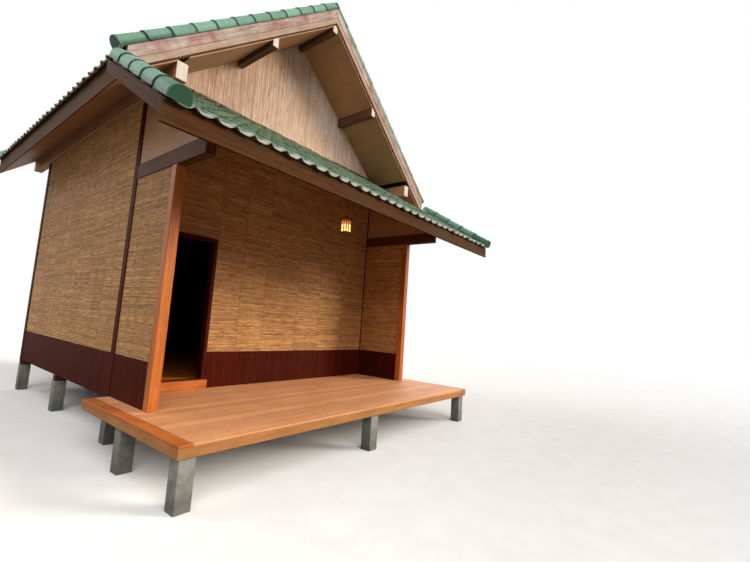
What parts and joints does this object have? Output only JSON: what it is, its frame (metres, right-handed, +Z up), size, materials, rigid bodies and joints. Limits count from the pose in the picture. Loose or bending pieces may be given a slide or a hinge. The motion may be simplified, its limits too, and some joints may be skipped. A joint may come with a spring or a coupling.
{
  "type": "stilt house",
  "caption": "Small timber and bamboo house on concrete piers, with a steep tiled gable roof, a tiled lean-to porch roof and an open doorway.",
  "frame": {"origin": "centre of the overall size in plan, at the level where the piers meet the ground or water", "axes": "+X to the right as one faces the porch, +Y from the porch to the back of the house, +Z up"},
  "size_m": [6.62, 8.1769, 7.4347],
  "materials": {
    "concrete": "rough",
    "deck_timber": "satin",
    "orange_timber": "varnished",
    "red_timber": "varnished",
    "bamboo_panel": "matt",
    "split_bamboo": "matt",
    "roof_tile": "weathered glaze",
    "cap_tile": "glazed",
    "weathered_board": "weathered paint",
    "brown_timber": "oiled",
    "lantern_wood": "satin"
  },
  "bodies": {
    "root": {"piers": "concrete", "bearers": "brown_timber", "deck_joists": "brown_timber", "deck_rim": "deck_timber", "porch_deck": "deck_timber", "deck_borders": "deck_timber", "room_joists": "brown_timber", "room_floor": "orange_timber", "door_step": "orange_timber", "door_frame": "red_timber", "front_wainscots": "red_timber", "front_walls": "bamboo_panel", "front_wall_over": "bamboo_panel", "porch_side_walls": "bamboo_panel", "porch_side_wainscots": "red_timber", "side_walls": "bamboo_panel", "side_wainscots": "red_timber", "back_wall": "bamboo_panel", "back_wainscot": "red_timber", "porch_posts": "orange_timber", "room_posts": "brown_timber", "side_beams": "brown_timber", "side_infills": "brown_timber", "wall_plates": "brown_timber", "cross_plates": "brown_timber", "lean_ledger": "brown_timber", "eave_purlin": "brown_timber", "ridge_purlin": "brown_timber", "mid_purlins": "brown_timber", "rafters": "brown_timber", "roof_boards": "brown_timber", "soffits": "brown_timber", "main_tiles_left": "roof_tile", "main_tiles_right": "roof_tile", "gable_walls": "split_bamboo", "bargeboards": "weathered_board", "eave_fascias": "brown_timber", "ridge_caps": "cap_tile", "verge_caps": "cap_tile", "lean_rafters": "brown_timber", "lean_soffit": "brown_timber", "lean_tiles": "roof_tile", "lean_trim": "brown_timber", "lean_verge_caps": "cap_tile", "lantern": "lantern_wood"}
  },
  "joints": []
}
